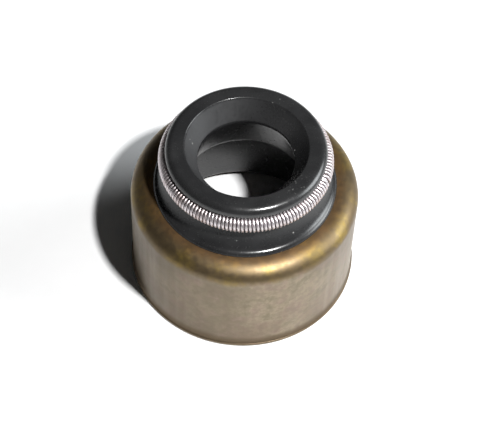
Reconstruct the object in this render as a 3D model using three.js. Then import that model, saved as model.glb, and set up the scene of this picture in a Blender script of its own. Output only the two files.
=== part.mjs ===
// Valve stem seal: a drawn steel case, a rubber seal moulded into it and a garter spring round its neck.
// Millimetres, +Z up. The origin is the centre of the case's open lower edge, on the surface it stands on.
// Radii stack outwards from the sealing lip to the case's wall, and heights stack upwards from that edge.

import * as THREE from 'three';

// Sealing lip, which runs on the valve's stem
const lipRadius = 3.29;
const lipLand = 0.2;
const mouthDepth = 1.45;

// Garter spring
const coilRadius = 0.6;
const turns = 140;
const turnGrooveDepth = 0.09;
const springSeat = 0.05;

// Neck and head of the rubber
const neckWall = 1.39;
const neckLength = 2.53;
const headLength = 1.39;
const headOverhang = 0.78;
const headRound = 0.55;
const rimWidth = 0.71;

// Skirt of the rubber, which lies on the case's flange
const skirtSpread = 1.62;
const skirtBead = 0.45;
const skirtEdge = 0.03;
const sweepLead = 0.35;

// Rubber inside the case, which grips the valve's guide
const linerThickness = 0.6;
const linerStart = 0.6;
const linerChamfer = 0.3;
const ceilingThickness = 0.55;
const funnelHeight = 0.45;
const funnelSpread = 0.25;
const backConeSpread = 0.91;

// Steel case
const caseWall = 0.6;
const wallHeight = 7.4;
const shoulderWidth = 1.56;
const shoulderRise = 1.2;
const flangeLap = 0.6;
const flare = 0.14;
const flareHeight = 0.6;
const flareLand = 0.3;
const edgeRound = 0.12;

// Bond line between steel and rubber
const bond = 0.05;

// Facets
const roundSegments = 60;
const coilSides = 8;

// Places that follow from the sizes above
const grooveFloor = lipRadius + neckWall;
const springRing = grooveFloor + springSeat + coilRadius;
const headRadius = grooveFloor + headOverhang;
const mouthRadius = headRadius - headRound - rimWidth;
const skirtRadius = grooveFloor + skirtSpread;
const caseRadius = skirtRadius + shoulderWidth;
const caseBore = caseRadius - caseWall;
const linerRadius = caseBore - bond;
const guideRadius = linerRadius - linerThickness;
const flangeBore = skirtRadius - flangeLap;
const flangeTop = wallHeight + shoulderRise;
const flangeUnderside = flangeTop - caseWall;
const ceiling = flangeUnderside - bond - ceilingThickness;
const springHeight = flangeTop + neckLength;
const top = springHeight + headLength;
const lipTop = top - mouthDepth;

const degrees = THREE.MathUtils.degToRad;
const point = (radius, height) => new THREE.Vector2(radius, height);

// Points along an ellipse about (radius, height) from one angle to another, with both ends.
// Angle 0 points outwards and 90 points up.
function arc(radius, height, halfWidth, halfHeight, from, to, steps) {
  const curve = new THREE.EllipseCurve(
    radius, height, halfWidth, halfHeight, degrees(from), degrees(to), to < from);
  return curve.getPoints(steps);
}

// Turns a section round the Z axis. It runs up the outside and down the inside, and is closed here.
function turned(section) {
  const geometry = new THREE.LatheGeometry([...section, section[0]], roundSegments);
  geometry.rotateX(Math.PI / 2);
  return geometry;
}

// The cup: lower edge, flare, straight wall, rounded shoulder, flange, and the same way back inside.
function caseGeometry() {
  const lowerEdge = caseRadius + flare;
  const shoulderCentre = caseRadius - shoulderWidth;
  return turned([
    point(caseBore, 0),
    ...arc(lowerEdge - edgeRound, edgeRound, edgeRound, edgeRound, -90, 0, 2),
    ...arc(lowerEdge, flareLand + flareHeight, flare, flareHeight, 270, 180, 3),
    ...arc(shoulderCentre, wallHeight, shoulderWidth, shoulderRise, 0, 90, 6),
    point(flangeBore, flangeTop),
    point(flangeBore, flangeUnderside),
    ...arc(shoulderCentre, wallHeight, shoulderWidth - caseWall, shoulderRise - caseWall, 90, 0, 4),
  ]);
}

// The moulding's outside, from the liner's lower end up to the edge of the mouth.
function rubberOutside() {
  const grooveRadius = coilRadius + springSeat;
  const grooveStart = 250;
  const grooveEnd = 110;
  const headStart = -18;
  const neckRadius = springRing + grooveRadius * Math.cos(degrees(grooveStart));
  const neckTop = springHeight + grooveRadius * Math.sin(degrees(grooveStart));
  const beadStart = 20;
  const beadEnd = 64;
  const beadCentre = skirtRadius - skirtBead * Math.cos(degrees(beadStart));
  const beadHeight = flangeTop + skirtEdge - skirtBead * Math.sin(degrees(beadStart));
  const bead = arc(beadCentre, beadHeight, skirtBead, skirtBead, beadStart, beadEnd, 3);
  const crest = bead[bead.length - 1];
  const control = point(
    crest.x - sweepLead * Math.sin(degrees(beadEnd)),
    crest.y + sweepLead * Math.cos(degrees(beadEnd)));
  const sweep = new THREE.QuadraticBezierCurve(crest, control, point(neckRadius, neckTop));
  return [
    point(linerRadius, linerStart),
    ...arc(
      skirtRadius, wallHeight,
      shoulderWidth - caseWall - bond, shoulderRise - caseWall - bond, 0, 90, 4),
    point(flangeBore - bond, flangeUnderside - bond),
    point(flangeBore - bond, flangeTop),
    point(skirtRadius, flangeTop),
    ...bead,
    ...sweep.getPoints(5).slice(1),
    ...arc(springRing, springHeight, grooveRadius, grooveRadius, grooveStart, grooveEnd, 5).slice(1),
    ...arc(headRadius - headRound, top - headRound, headRound, headRound, headStart, 90, 5),
  ];
}

// The moulding's inside, from the mouth down past the lip and the guide's space to the lead-in.
function rubberInside() {
  return [
    point(mouthRadius, top),
    point(lipRadius, lipTop),
    point(lipRadius, lipTop - lipLand),
    point(lipRadius + backConeSpread, ceiling + funnelHeight),
    point(lipRadius + backConeSpread + funnelSpread, ceiling),
    point(guideRadius, ceiling),
    point(guideRadius, linerStart + linerChamfer),
    point(guideRadius + linerChamfer, linerStart),
  ];
}

function rubberGeometry() {
  return turned([...rubberOutside(), ...rubberInside()]);
}

// The coil's outer form. Crests and the grooves between turns alternate along the ring, and each winds
// once round the section while it advances by one turn, as the wire does.
function springGeometry() {
  const geometry = new THREE.TorusGeometry(springRing, coilRadius, coilSides, 2 * turns);
  const position = geometry.attributes.position;
  const stations = 2 * turns + 1;
  for (let index = 0; index < position.count; index += 1) {
    const side = Math.floor(index / stations);
    const station = index % stations;
    const along = 2 * Math.PI * (station / 2 + side / coilSides) / turns;
    const around = 2 * Math.PI * side / coilSides;
    const radius = station % 2 === 0 ? coilRadius : coilRadius - turnGrooveDepth;
    const reach = springRing + radius * Math.cos(around);
    position.setXYZ(
      index, reach * Math.cos(along), reach * Math.sin(along), radius * Math.sin(around));
  }
  return geometry;
}

function piece(name, geometry, color, roughness, metalness) {
  const material = new THREE.MeshStandardMaterial({ color, roughness, metalness });
  const mesh = new THREE.Mesh(geometry, material);
  mesh.name = name;
  return mesh;
}

const seal = new THREE.Group();
seal.add(piece('metal_case', caseGeometry(), 0xa39684, 0.42, 1));
seal.add(piece('rubber_seal', rubberGeometry(), 0x2c2d30, 0.5, 0));

const spring = piece('garter_spring', springGeometry(), 0xc9c2bd, 0.3, 1);
spring.position.z = springHeight;
seal.add(spring);

export default seal;
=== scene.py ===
"""Valve stem seal: a drawn steel case, a black rubber seal with its lip, and a garter spring.

Sizes are in millimetres until a mesh is made. Each surface is a section turned round the Z axis, or a
wire carried along a coil, worked out as whole arrays. Sections run up the outside and down the inside.
"""

import math

import bpy
import numpy as np
from mathutils import Matrix, Vector


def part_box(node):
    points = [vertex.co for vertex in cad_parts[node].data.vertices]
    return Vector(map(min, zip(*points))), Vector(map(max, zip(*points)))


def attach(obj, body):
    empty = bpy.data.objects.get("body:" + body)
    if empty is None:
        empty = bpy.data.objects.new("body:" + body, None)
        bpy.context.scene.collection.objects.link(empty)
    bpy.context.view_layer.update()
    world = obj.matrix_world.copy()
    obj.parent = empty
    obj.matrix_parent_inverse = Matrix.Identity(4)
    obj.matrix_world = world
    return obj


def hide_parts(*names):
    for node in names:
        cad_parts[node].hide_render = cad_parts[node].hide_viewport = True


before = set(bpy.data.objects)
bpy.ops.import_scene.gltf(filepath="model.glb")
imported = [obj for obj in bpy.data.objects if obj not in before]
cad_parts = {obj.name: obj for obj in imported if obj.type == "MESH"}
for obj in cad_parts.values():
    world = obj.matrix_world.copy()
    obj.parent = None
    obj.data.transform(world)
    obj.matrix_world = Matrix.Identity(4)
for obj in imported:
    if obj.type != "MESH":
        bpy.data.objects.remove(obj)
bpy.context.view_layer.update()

MILLIMETRE = 0.001


def box_in_millimetres(node):
    """Lowest and highest corner of a CAD node."""
    low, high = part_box(node)
    return np.array(low) / MILLIMETRE, np.array(high) / MILLIMETRE


case_low, case_high = box_in_millimetres("metal_case")
rubber_low, rubber_high = box_in_millimetres("rubber_seal")
spring_low, spring_high = box_in_millimetres("garter_spring")

# Steel case
EDGE_RADIUS = case_high[0]
FLANGE_TOP = case_high[2]
CASE_WALL = 0.6
FLARE = 0.14
FLARE_LAND = 0.3
FLARE_HEIGHT = 0.6
CASE_RADIUS = EDGE_RADIUS - FLARE
CASE_BORE = CASE_RADIUS - CASE_WALL
SHOULDER_WIDTH = 1.56
SHOULDER_RISE = 1.2
WALL_HEIGHT = FLANGE_TOP - SHOULDER_RISE
SHOULDER_CENTRE = CASE_RADIUS - SHOULDER_WIDTH
FLANGE_LAP = 0.6
FLANGE_BORE = SHOULDER_CENTRE - FLANGE_LAP

# Garter spring
COIL_RADIUS = (spring_high[2] - spring_low[2]) / 2
SPRING_HEIGHT = (spring_high[2] + spring_low[2]) / 2
SPRING_RING = spring_high[0] - COIL_RADIUS
SPRING_SEAT = 0.05
WIRE_RADIUS = 0.1
TURNS = 140
# The joint's place in degrees, and the empty turns left there
JOINT_AZIMUTH = -18.0
JOINT_GAP = 1.8
# Turns tucked in at each end, and how far they narrow
TUCKED_TURNS = 1.5
TUCK_DEPTH = 2.2 * WIRE_RADIUS

# Rubber
TOP = rubber_high[2]
LINER_RADIUS = rubber_high[0]
LINER_START = rubber_low[2]
SKIRT_RADIUS = SHOULDER_CENTRE
# The skirt's edge stands up by a little, then its round bead runs from one angle to another and leads
# into the sweep along its tangent
SKIRT_EDGE = 0.03
BEAD_RADIUS = 0.45
BEAD_START = 20.0
BEAD_END = 64.0
BEAD_LEAD = 0.35
# Angles at which the spring's groove starts and ends and the head's round starts
GROOVE_START = 250.0
GROOVE_END = 110.0
HEAD_START = -18.0
HEAD_RADIUS = 5.46
HEAD_ROUND = 0.55
MOUTH_RADIUS = 4.2
MOUTH_DEPTH = 1.45
LIP_RADIUS = 3.29
LIP_LAND = 0.2
BACK_CONE_RADIUS = 4.2
BACK_CONE_BOTTOM = 7.85
FUNNEL_RADIUS = 4.45
CEILING = 7.4
GUIDE_RADIUS = 6.61
LINER_CHAMFER = 0.3
# Gap filled by the bond between steel and rubber
BOND = 0.05

# Specks of dust on the rubber: azimuth in degrees, radius, height and half width
SPECKS = (
    (169.0, 3.70, 11.72, 0.075),
    (168.0, 3.89, 12.02, 0.045),
    (66.0, 4.17, 12.50, 0.05),
    (62.0, 4.67, 12.52, 0.04),
    (-95.0, 5.60, 9.50, 0.05),
)
# Rubbed place on the head's flat top
SCUFF_AZIMUTH = -42.0
SCUFF_RADIUS = 4.55
SCUFF_REACH = 1.1

# Fineness of the meshes. Points nearer than the last length are one.
ROUND_SEGMENTS = 288
CORNER_STEPS = 6
LONGEST_SIDE = 0.35
STEPS_PER_TURN = 24
WIRE_SIDES = 10
SAME_PLACE = 1e-6


def direction(azimuth, elevation):
    """Unit vector at an azimuth counted from +X towards +Y and an elevation, both in degrees."""
    across = math.cos(math.radians(elevation))
    return Vector((
        across * math.cos(math.radians(azimuth)),
        across * math.sin(math.radians(azimuth)),
        math.sin(math.radians(elevation))))


def arc(centre, half_width, half_height, start, end, steps):
    """Rows of radius, height and reach 0: centre plus the half sizes times cosine and sine."""
    angle = np.radians(np.linspace(start, end, steps + 1))
    radius = centre[0] + half_width * np.cos(angle)
    height = centre[1] + half_height * np.sin(angle)
    return np.column_stack([radius, height, np.zeros_like(angle)])


def quadratic(start, control, end, steps):
    """Points along a curve: the three given ones weighted by (1 - t) squared, 2 t (1 - t) and t squared."""
    t = np.linspace(0, 1, steps + 1)[:, None]
    return (1 - t) ** 2 * start + 2 * t * (1 - t) * control + t ** 2 * end


def bend(start, control, end, steps):
    """Rows of radius, height and reach 0 along the quadratic curve of three points."""
    return np.column_stack([quadratic(start, control, end, steps), np.zeros(steps + 1)])


def softened(corners):
    """Closed section with soft corners.

    A row is radius, height and reach. Each corner becomes the quadratic curve that leaves its two sides
    at that reach from it, and a reach of 0 keeps the point. Points that repeat are dropped.
    """
    place = corners[:, :2]
    reach = corners[:, 2:]
    before = np.roll(place, 1, axis=0) - place
    after = np.roll(place, -1, axis=0) - place
    start = place + before / np.linalg.norm(before, axis=1, keepdims=True) * reach
    end = place + after / np.linalg.norm(after, axis=1, keepdims=True) * reach
    path = quadratic(start[:, None], place[:, None], end[:, None], CORNER_STEPS).reshape(-1, 2)
    moved = np.linalg.norm(path - np.roll(path, 1, axis=0), axis=1) > SAME_PLACE
    return path[moved]


def stepped(section, longest):
    """The same closed section with points added at even lengths, so that no side is long."""
    closed = np.vstack([section, section[:1]])
    length = np.r_[0, np.cumsum(np.linalg.norm(np.diff(closed, axis=0), axis=1))]
    places = np.union1d(length, np.arange(0, length[-1], longest))[:-1]
    return np.column_stack([np.interp(places, length, closed[:, axis]) for axis in (0, 1)])


def wrapped_quads(rows, columns, close_rows=True):
    """Four-cornered faces of a grid whose columns close on themselves, and whose rows may."""
    row = np.arange(rows if close_rows else rows - 1)[:, None]
    column = np.arange(columns)[None, :]
    next_row = (row + 1) % rows
    next_column = (column + 1) % columns
    corners = [
        row * columns + column,
        next_row * columns + column,
        next_row * columns + next_column,
        row * columns + next_column,
    ]
    return np.stack(corners, axis=-1).reshape(-1, 4)


def new_piece(name, points, faces, material, node):
    """A smooth mesh object made from millimetres, which stands for one CAD node."""
    mesh = bpy.data.meshes.new(name)
    mesh.from_pydata((points * MILLIMETRE).tolist(), [], faces)
    mesh.polygons.foreach_set("use_smooth", np.ones(len(mesh.polygons), dtype=bool))
    mesh.materials.append(material)
    mesh.update()
    piece = bpy.data.objects.new(name, mesh)
    bpy.context.collection.objects.link(piece)
    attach(piece, "root")
    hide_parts(node)
    return piece


def turned(section):
    """Grid of the section turned round Z: radius times cosine, radius times sine, height."""
    angle = np.linspace(0, 2 * np.pi, ROUND_SEGMENTS, endpoint=False)[:, None]
    radius, height = section[:, 0], section[:, 1]
    level = np.broadcast_to(height, (ROUND_SEGMENTS, len(height)))
    grid = np.stack([radius * np.cos(angle), radius * np.sin(angle), level], axis=-1)
    return grid.reshape(-1, 3), wrapped_quads(ROUND_SEGMENTS, len(section)).tolist()


def case_section():
    """Lower edge, flare, straight wall, quarter-round shoulder, flange, and the same way back inside.

    Flare and shoulder are quarter ellipses, and the inner shoulder is smaller by the wall. Each corner
    row ends with its reach.
    """
    shoulder = (SHOULDER_CENTRE, WALL_HEIGHT)
    inner_width = SHOULDER_WIDTH - CASE_WALL
    inner_rise = SHOULDER_RISE - CASE_WALL
    return softened(np.vstack([
        [CASE_BORE, 0, 0.1],
        [EDGE_RADIUS, 0, 0.14],
        arc((EDGE_RADIUS, FLARE_LAND + FLARE_HEIGHT), FLARE, FLARE_HEIGHT, 270, 180, steps=12),
        arc(shoulder, SHOULDER_WIDTH, SHOULDER_RISE, 0, 90, steps=36),
        [FLANGE_BORE, FLANGE_TOP, 0.08],
        [FLANGE_BORE, FLANGE_TOP - CASE_WALL, 0.08],
        arc(shoulder, inner_width, inner_rise, 90, 0, steps=24),
    ]))


def rubber_section():
    """Liner, flange seat, skirt bead, sweep, spring groove, head, mouth, lip, funnel and guide bore.

    Bead, groove and head are arcs. The sweep is the quadratic curve that leaves the bead along its
    tangent and ends where the groove starts.
    """
    groove = COIL_RADIUS + SPRING_SEAT
    seat = arc((SPRING_RING, SPRING_HEIGHT), groove, groove, GROOVE_START, GROOVE_END, steps=24)
    rim = math.radians(BEAD_START)
    crest = math.radians(BEAD_END)
    bead_centre = (
        SKIRT_RADIUS - BEAD_RADIUS * math.cos(rim),
        FLANGE_TOP + SKIRT_EDGE - BEAD_RADIUS * math.sin(rim))
    bead = arc(bead_centre, BEAD_RADIUS, BEAD_RADIUS, BEAD_START, BEAD_END, steps=12)
    lead = BEAD_LEAD * np.array([-math.sin(crest), math.cos(crest)])
    sweep = bend(bead[-1, :2], bead[-1, :2] + lead, seat[0, :2], steps=20)
    head_centre = (HEAD_RADIUS - HEAD_ROUND, TOP - HEAD_ROUND)
    head = arc(head_centre, HEAD_ROUND, HEAD_ROUND, HEAD_START, 90, steps=20)
    inner_width = SHOULDER_WIDTH - CASE_WALL - BOND
    inner_rise = SHOULDER_RISE - CASE_WALL - BOND
    return softened(np.vstack([
        [LINER_RADIUS, LINER_START, 0.1],
        arc((SKIRT_RADIUS, WALL_HEIGHT), inner_width, inner_rise, 0, 90, steps=16),
        [FLANGE_BORE - BOND, FLANGE_TOP - CASE_WALL - BOND, 0.05],
        [FLANGE_BORE - BOND, FLANGE_TOP, 0],
        [SKIRT_RADIUS, FLANGE_TOP, 0],
        bead,
        sweep[1:],
        seat[1:],
        head,
        [MOUTH_RADIUS, TOP, 0.05],
        [LIP_RADIUS, TOP - MOUTH_DEPTH, 0.08],
        [LIP_RADIUS, TOP - MOUTH_DEPTH - LIP_LAND, 0.08],
        [BACK_CONE_RADIUS, BACK_CONE_BOTTOM, 0.15],
        [FUNNEL_RADIUS, CEILING, 0.15],
        [GUIDE_RADIUS, CEILING, 0.25],
        [GUIDE_RADIUS, LINER_START + LINER_CHAMFER, 0.12],
        [GUIDE_RADIUS + LINER_CHAMFER, LINER_START, 0.12],
    ]))


def spring_mesh():
    """Wire coil bent into a ring, with its ends tucked in at the joint.

    The wire's centre is a point of the ring plus the coil's radius times a spoke. The point's angle is the
    joint's azimuth plus 2 pi (turn + half the gap) / (turns + gap). The spoke turns by -2 pi for each turn,
    in the plane of the ring's radius and the axis. Past both ends the coil narrows with the root of the
    way, so that the wire runs inside the neighbouring turns. The wire's own circle stands square to the
    path at each station.
    """
    count = int((TURNS + 2 * TUCKED_TURNS) * STEPS_PER_TURN) + 1
    turn = np.linspace(-TUCKED_TURNS, TURNS + TUCKED_TURNS, count)
    along = math.radians(JOINT_AZIMUTH) + 2 * np.pi * (turn + JOINT_GAP / 2) / (TURNS + JOINT_GAP)
    around = -2 * np.pi * turn
    past_end = np.clip(np.maximum(-turn, turn - TURNS) / TUCKED_TURNS, 0, 1)
    coil = COIL_RADIUS - WIRE_RADIUS - TUCK_DEPTH * np.sqrt(past_end)

    outward = np.column_stack([np.cos(along), np.sin(along), np.zeros(count)])
    upward = np.array([0.0, 0.0, 1.0])
    spoke = outward * np.cos(around)[:, None] + upward * np.sin(around)[:, None]
    centre = SPRING_RING * outward + SPRING_HEIGHT * upward
    path = centre + coil[:, None] * spoke

    tangent = np.gradient(path, axis=0)
    tangent /= np.linalg.norm(tangent, axis=1, keepdims=True)
    normal = spoke - np.sum(spoke * tangent, axis=1, keepdims=True) * tangent
    normal /= np.linalg.norm(normal, axis=1, keepdims=True)
    side = np.cross(tangent, normal)

    angle = -np.linspace(0, 2 * np.pi, WIRE_SIDES, endpoint=False)[None, :, None]
    ring = normal[:, None] * np.cos(angle) + side[:, None] * np.sin(angle)
    points = (path[:, None] + WIRE_RADIUS * ring).reshape(-1, 3)
    faces = wrapped_quads(count, WIRE_SIDES, close_rows=False).tolist()
    cap = np.arange(WIRE_SIDES)
    faces.append(cap.tolist())
    faces.append((cap[::-1] + (count - 1) * WIRE_SIDES).tolist())
    return points, faces


class Nodes:
    """Short calls that add nodes to one tree and join them."""

    def __init__(self, tree):
        self.tree = tree
        tree.nodes.clear()

    def add(self, kind, values=(), **settings):
        """A node with its settings, and with values or links for its inputs by name or number."""
        node = self.tree.nodes.new(kind)
        for key, value in settings.items():
            setattr(node, key, value)
        for key, value in dict(values).items():
            if isinstance(value, bpy.types.NodeSocket):
                self.tree.links.new(value, node.inputs[key])
            else:
                node.inputs[key].default_value = value
        return node

    def noise(self, vector, scale, detail, roughness=0.5):
        """Factor of a noise with that many waves in a metre."""
        values = {"Vector": vector, "Scale": scale, "Detail": detail, "Roughness": roughness}
        return self.add("ShaderNodeTexNoise", values).outputs[0]

    def ranged(self, value, low, high, to_low=0.0, to_high=1.0):
        """A value mapped from one range to another, smooth at both ends."""
        values = {"Value": value, 1: low, 2: high, 3: to_low, 4: to_high}
        return self.add("ShaderNodeMapRange", values, interpolation_type="SMOOTHSTEP").outputs[0]

    def between(self, length, low, high, to_low=0.0, to_high=1.0):
        """A length mapped from a range given in millimetres to another range, smooth at both ends."""
        return self.ranged(length, low * MILLIMETRE, high * MILLIMETRE, to_low, to_high)

    def from_axis(self, place):
        """Distance of a place from the Z axis."""
        flat = self.add("ShaderNodeVectorMath", {0: place, 1: (1.0, 1.0, 0.0)}, operation="MULTIPLY")
        length = self.add("ShaderNodeVectorMath", {0: flat.outputs[0]}, operation="LENGTH")
        return length.outputs["Value"]

    def math(self, operation, first, second):
        """Result of one operation on two values."""
        return self.add("ShaderNodeMath", {0: first, 1: second}, operation=operation).outputs[0]

    def product(self, first, *others):
        """All the values multiplied, from left to right."""
        for other in others:
            first = self.math("MULTIPLY", first, other)
        return first

    def mixed(self, factor, first, second):
        """Two colours mixed by a factor."""
        values = {0: factor, 6: first, 7: second}
        return self.add("ShaderNodeMix", values, data_type="RGBA").outputs[2]

    def closeness(self, place, azimuth, radius, height, reach):
        """1 within 0.4 of the reach of a place given by azimuth, radius and height, 0 beyond the reach."""
        centre = direction(azimuth, 0.0) * radius + Vector((0.0, 0.0, height))
        values = {0: place, 1: centre * MILLIMETRE}
        away = self.add("ShaderNodeVectorMath", values, operation="DISTANCE").outputs["Value"]
        return self.between(away, reach, 0.4 * reach)

    def bump(self, height, strength, distance):
        """Normal of a bump with that height map."""
        values = {"Height": height, "Strength": strength, "Distance": distance}
        return self.add("ShaderNodeBump", values).outputs[0]


def surface(name):
    """A new material, its node calls, and the Object coordinates."""
    material = bpy.data.materials.new(name)
    material.use_nodes = True
    nodes = Nodes(material.node_tree)
    place = nodes.add("ShaderNodeTexCoord").outputs["Object"]
    return material, nodes, place


def finish_surface(nodes, values):
    """Principled shader with these values, joined to the output."""
    shader = nodes.add("ShaderNodeBsdfPrincipled", values)
    nodes.add("ShaderNodeOutputMaterial", {"Surface": shader.outputs[0]})


# Colours of the steel
BEIGE_DEEP = (0.170, 0.133, 0.089, 1)
BEIGE_PALE = (0.268, 0.219, 0.150, 1)
ROSY = (0.240, 0.172, 0.135, 1)
GREENISH = (0.182, 0.150, 0.096, 1)
# Painted shade: the wall's -X side darker, where it reflects the shadow on the card
PAINTED_SIDE_SHADE = (0.105, 0.082, 0.052, 1)
GOLD_DULL = (0.165, 0.118, 0.062, 1)
GOLD_BRIGHT = (0.250, 0.176, 0.054, 1)
SCORCHED = (0.205, 0.112, 0.048, 1)
STAIN = (0.150, 0.102, 0.070, 1)
# Painted shade: a dark band at the wall's foot, where it reflects the shade on the card next to it
PAINTED_FOOT_SHADE = (0.115, 0.082, 0.050, 1)
# Painted reflection: a lighter line on the lower edge, where it reflects the white card
PAINTED_EDGE_REFLECTION = (0.27, 0.225, 0.155, 1)
GRIME = (0.110, 0.085, 0.055, 1)


def stained_steel():
    """Dull drawn steel, grey-beige on the wall and golden brown on the shoulder, with soft blotches."""
    material, nodes, place = surface("stained_steel")
    split = nodes.add("ShaderNodeSeparateXYZ", {0: place})
    sideways, height = split.outputs[0], split.outputs[2]
    broad = nodes.noise(place, 170.0, 3.0)
    blotchy = nodes.noise(place, 240.0, 4.0, 0.6)
    patchy = nodes.noise(place, 520.0, 4.0, 0.6)
    mottle = nodes.noise(place, 950.0, 5.0, 0.65)
    fine = nodes.noise(place, 2600.0, 3.0, 0.6)
    stretched = nodes.add("ShaderNodeMapping", {"Vector": place, "Scale": (1.0, 1.0, 0.04)})
    drawn = nodes.noise(stretched.outputs[0], 2400.0, 2.0)

    # The patches make the borders between the tints wander
    wander = nodes.product(nodes.math("SUBTRACT", patchy, 0.5), 0.9 * MILLIMETRE)
    level = nodes.math("ADD", height, wander)
    radius = nodes.math("SUBTRACT", nodes.from_axis(place), wander)

    # Straight wall, with painted shade that darkens it towards -X, where the wall reflects the shadow on
    # the card
    beige = nodes.mixed(nodes.ranged(broad, 0.38, 0.62), BEIGE_DEEP, BEIGE_PALE)
    rosy = nodes.mixed(nodes.ranged(mottle, 0.45, 0.75), beige, ROSY)
    green = nodes.mixed(nodes.ranged(mottle, 0.52, 0.30), rosy, GREENISH)
    side_shaded = nodes.mixed(nodes.between(sideways, 1.0, -7.0, 0.0, 0.45), green, PAINTED_SIDE_SHADE)

    # Golden shoulder, redder next to the rubber
    golden = nodes.mixed(nodes.ranged(patchy, 0.42, 0.68), GOLD_DULL, GOLD_BRIGHT)
    scorched = nodes.mixed(nodes.between(radius, 7.3, 6.5, 0.0, 0.7), golden, SCORCHED)
    gold = nodes.between(level, 7.35, 7.95)
    upper = nodes.mixed(gold, side_shaded, scorched)

    # Stains low on the wall, painted shade as a dark band at the foot, where the wall reflects the shade on
    # the card next to it, a painted reflection of the white card as a lighter line along the lower edge,
    # and grime in the grain
    stain = nodes.product(
        nodes.between(height, 5.5, 1.5), nodes.ranged(blotchy, 0.46, 0.62, 0.0, 0.5))
    stained = nodes.mixed(stain, upper, STAIN)
    lower = nodes.mixed(nodes.between(level, 1.1, 0.5, 0.0, 0.9), stained, PAINTED_FOOT_SHADE)
    edged = nodes.mixed(nodes.between(height, 0.28, 0.12, 0.0, 0.7), lower, PAINTED_EDGE_REFLECTION)
    colour = nodes.mixed(nodes.ranged(fine, 0.6, 0.4, 0.0, 0.3), edged, GRIME)

    grain = nodes.math("ADD", nodes.product(fine, 0.5), nodes.product(drawn, 0.5))
    dullness = nodes.ranged(grain, 0.3, 0.7, 0.36, 0.48)
    finish_surface(nodes, {
        "Base Color": colour,
        "Metallic": 0.85,
        "Roughness": nodes.math("ADD", dullness, nodes.product(gold, 0.03)),
        "Normal": nodes.bump(grain, 0.25, 0.02 * MILLIMETRE),
    })
    return material


# Colours of the rubber, and the radius inside which it is duller below the lip
BLACK_DEEP = (0.015, 0.015, 0.0155, 1)
BLACK_PALE = (0.023, 0.023, 0.0235, 1)
# Lighter grey of the dust and the painted sheen in the mouth's cone
DUST_AND_SHEEN = (0.032, 0.032, 0.033, 1)
LINT = (0.24, 0.24, 0.23, 1)
THROAT_RADIUS = 4.6


def black_rubber():
    """Glossy black rubber, with dust and a painted sheen in the mouth's cone, a fine skin and a few specks
    of lint.
    """
    material, nodes, place = surface("black_rubber")
    split = nodes.add("ShaderNodeSeparateXYZ", {0: place})
    sideways, height = split.outputs[0], split.outputs[2]
    radius = nodes.from_axis(place)
    cloudy = nodes.noise(place, 380.0, 4.0, 0.6)
    skin = nodes.noise(place, 5200.0, 2.0)
    lip_top = TOP - MOUTH_DEPTH

    # Dust lies in the mouth's cone, and a painted sheen makes it lighter towards -X, where the cone is seen
    # at a grazing angle
    dust_and_sheen = nodes.product(
        nodes.between(radius, MOUTH_RADIUS, MOUTH_RADIUS - 0.12),
        nodes.between(height, lip_top - 0.05, lip_top + 0.1),
        nodes.between(sideways, 4.0, -4.0, 0.0, 0.85),
        nodes.ranged(cloudy, 0.2, 0.6, 0.6, 1.0))
    black = nodes.mixed(nodes.ranged(cloudy, 0.35, 0.7), BLACK_DEEP, BLACK_PALE)
    dust_and_sheen_tinted = nodes.mixed(dust_and_sheen, black, DUST_AND_SHEEN)

    # Lint is one small dot in some of the cells, the named specks and the rubbed place
    cells = nodes.add("ShaderNodeTexVoronoi", {"Vector": place, "Scale": 900.0, "Randomness": 1.0})
    chosen = nodes.add("ShaderNodeSeparateXYZ", {0: cells.outputs["Color"]}).outputs[0]
    lint = nodes.product(
        nodes.ranged(cells.outputs["Distance"], 0.075, 0.045), nodes.ranged(chosen, 0.9, 0.92))
    for azimuth, speck_radius, speck_height, width in SPECKS:
        speck = nodes.closeness(place, azimuth, speck_radius, speck_height, width)
        lint = nodes.math("MAXIMUM", lint, speck)
    scratch = nodes.ranged(nodes.noise(place, 6500.0, 3.0, 0.6), 0.6, 0.68, 0.0, 0.35)
    scuffed = nodes.closeness(place, SCUFF_AZIMUTH, SCUFF_RADIUS, TOP, SCUFF_REACH)
    lint = nodes.math("MAXIMUM", lint, nodes.product(scratch, scuffed))

    throat = nodes.product(
        nodes.between(radius, THROAT_RADIUS + 0.06, THROAT_RADIUS),
        nodes.between(height, lip_top, lip_top - 0.5))
    finish_surface(nodes, {
        "Base Color": nodes.mixed(lint, dust_and_sheen_tinted, LINT),
        "Roughness": nodes.ranged(nodes.math("ADD", skin, dust_and_sheen), 0.35, 1.5, 0.215, 0.55),
        "Specular IOR Level": nodes.ranged(throat, 0.0, 1.0, 0.58, 0.1),
        "Normal": nodes.bump(skin, 0.05, 0.01 * MILLIMETRE),
    })
    return material


# Colours of the wire
WIRE_BRIGHT = (0.66, 0.61, 0.62, 1)
WIRE_TARNISHED = (0.54, 0.46, 0.45, 1)


def bright_wire():
    """Drawn spring wire, bright with a slight warm tarnish here and there."""
    material, nodes, place = surface("bright_wire")
    tarnish = nodes.noise(place, 900.0, 3.0)
    finish_surface(nodes, {
        "Base Color": nodes.mixed(nodes.ranged(tarnish, 0.45, 0.7), WIRE_BRIGHT, WIRE_TARNISHED),
        "Metallic": 1.0,
        "Roughness": nodes.ranged(tarnish, 0.3, 0.7, 0.38, 0.46),
    })
    return material


# Card. Between the two distances from the axis, what the camera sees of it turns plain white.
CARD_RADIUS = 1500.0
CARD_SIDES = 96
FADE_START = 24.0
FADE_END = 48.0
CARD_SHADED = (0.93, 0.93, 0.93, 1)
CARD_PALE = (0.95, 0.95, 0.95, 1)
WHITE = (1.0, 1.0, 1.0, 1)


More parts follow.
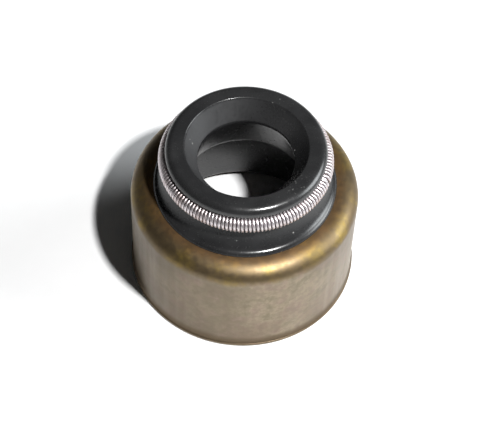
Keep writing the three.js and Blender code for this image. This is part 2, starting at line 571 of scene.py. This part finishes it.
def white_card():
    """Matt white card with the faintest fibre, which the camera sees as plain white further off."""
    material, nodes, place = surface("white_card")
    fibre = nodes.noise(place, 900.0, 2.0)
    away = nodes.between(nodes.from_axis(place), FADE_START, FADE_END)
    seen = nodes.add("ShaderNodeLightPath").outputs["Is Camera Ray"]
    finish_surface(nodes, {
        "Base Color": nodes.mixed(fibre, CARD_SHADED, CARD_PALE),
        "Roughness": 0.9,
        "Specular IOR Level": 0.1,
        "Emission Color": WHITE,
        "Emission Strength": nodes.product(away, seen),
    })
    return material


def lay_floor():
    """Flat round card that the seal stands on: one face with its corners on a circle."""
    angle = np.linspace(0, 2 * np.pi, CARD_SIDES, endpoint=False)
    circle = np.column_stack([np.cos(angle), np.sin(angle), np.zeros(CARD_SIDES)])
    mesh = bpy.data.meshes.new("card")
    mesh.from_pydata((CARD_RADIUS * circle * MILLIMETRE).tolist(), [], [list(range(CARD_SIDES))])
    mesh.materials.append(white_card())
    card = bpy.data.objects.new("card", mesh)
    bpy.context.collection.objects.link(card)


# A small lamp hangs close by at the front right, and a broad pale window lies to the right. The window
# fades out where the cosine of the angle from its middle falls to its edge value.
LAMP_PLACE = Vector((26.1, -34.3, 88.3))
LAMP_WIDTH = 6.0
LAMP_HEIGHT = 4.0
LAMP_POWER = 0.121
WINDOW_AZIMUTH = 6.0
WINDOW_ELEVATION = 25.0
WINDOW_EDGE = 0.91
WINDOW_STRENGTH = 9.5
ROOM_STRENGTH = 0.03
HORIZON_STRENGTH = 0.17
DAYLIGHT = (0.94, 0.98, 1.0, 1)


def light_room():
    """The lamp, and a dim room with the window and a paler horizon, which the camera sees as white."""
    lamp = bpy.data.lights.new("lamp", "AREA")
    lamp.shape = "RECTANGLE"
    lamp.size = LAMP_WIDTH * MILLIMETRE
    lamp.size_y = LAMP_HEIGHT * MILLIMETRE
    lamp.energy = LAMP_POWER
    holder = bpy.data.objects.new("lamp", lamp)
    holder.location = LAMP_PLACE * MILLIMETRE
    holder.rotation_euler = LAMP_PLACE.to_track_quat("Z", "Y").to_euler()
    bpy.context.collection.objects.link(holder)

    world = bpy.data.worlds.new("room")
    bpy.context.scene.world = world
    world.use_nodes = True
    nodes = Nodes(world.node_tree)
    towards = nodes.add("ShaderNodeTexCoord").outputs["Generated"]
    middle = direction(WINDOW_AZIMUTH, WINDOW_ELEVATION)
    facing = nodes.add("ShaderNodeVectorMath", {0: towards, 1: middle}, operation="DOT_PRODUCT")
    window = nodes.ranged(facing.outputs["Value"], WINDOW_EDGE, 1.0, 0.0, WINDOW_STRENGTH)
    split = nodes.add("ShaderNodeSeparateXYZ", {0: towards})
    horizon = nodes.ranged(split.outputs[2], 0.4, 0.05, ROOM_STRENGTH, HORIZON_STRENGTH)
    sideways = nodes.ranged(split.outputs[0], -1.0, 1.0, 0.35, 1.5)
    strength = nodes.math("ADD", window, nodes.product(horizon, sideways))
    room = nodes.add("ShaderNodeBackground", {"Color": DAYLIGHT, "Strength": strength})
    white = nodes.add("ShaderNodeBackground", {"Color": WHITE, "Strength": 1.0})
    seen = nodes.add("ShaderNodeLightPath").outputs["Is Camera Ray"]
    both = nodes.add("ShaderNodeMixShader", {0: seen, 1: room.outputs[0], 2: white.outputs[0]})
    nodes.add("ShaderNodeOutputWorld", {"Surface": both.outputs[0]})


# The camera as fitted to the photograph, whose frame is 500 by 436 pixels
CAMERA_PLACE = Vector((-1.19, -65.38, 96.56))
CAMERA_PITCH = 54.68
CAMERA_YAW = 1.45
CAMERA_ROLL = -2.91
FOCAL_PIXELS = 1600.0
FRAME_WIDTH = 500
SENSOR_WIDTH = 36.0


def place_camera():
    """Looks down by the pitch and aside by the yaw, then turns about its own view by the roll."""
    yaw = math.radians(CAMERA_YAW)
    roll = math.radians(CAMERA_ROLL)
    forward = direction(90.0 - CAMERA_YAW, -CAMERA_PITCH)
    level = Vector((math.cos(yaw), -math.sin(yaw), 0.0))
    below = forward.cross(level)
    right = math.cos(roll) * level + math.sin(roll) * below
    down = math.cos(roll) * below - math.sin(roll) * level

    camera = bpy.data.cameras.new("camera")
    camera.sensor_fit = "HORIZONTAL"
    camera.sensor_width = SENSOR_WIDTH
    camera.lens = SENSOR_WIDTH * FOCAL_PIXELS / FRAME_WIDTH
    camera.clip_start = 0.005
    camera.clip_end = 20.0
    holder = bpy.data.objects.new("camera", camera)
    turn = Matrix((right, -down, -forward)).transposed().to_4x4()
    holder.matrix_world = Matrix.Translation(CAMERA_PLACE * MILLIMETRE) @ turn
    bpy.context.collection.objects.link(holder)
    bpy.context.scene.camera = holder


points, faces = turned(stepped(case_section(), LONGEST_SIDE))
new_piece("case_shell", points, faces, stained_steel(), "metal_case")

points, faces = turned(stepped(rubber_section(), LONGEST_SIDE))
new_piece("rubber_body", points, faces, black_rubber(), "rubber_seal")

points, faces = spring_mesh()
new_piece("spring_coil", points, faces, bright_wire(), "garter_spring")

lay_floor()
light_room()
place_camera()
bpy.context.scene.view_settings.view_transform = "Standard"
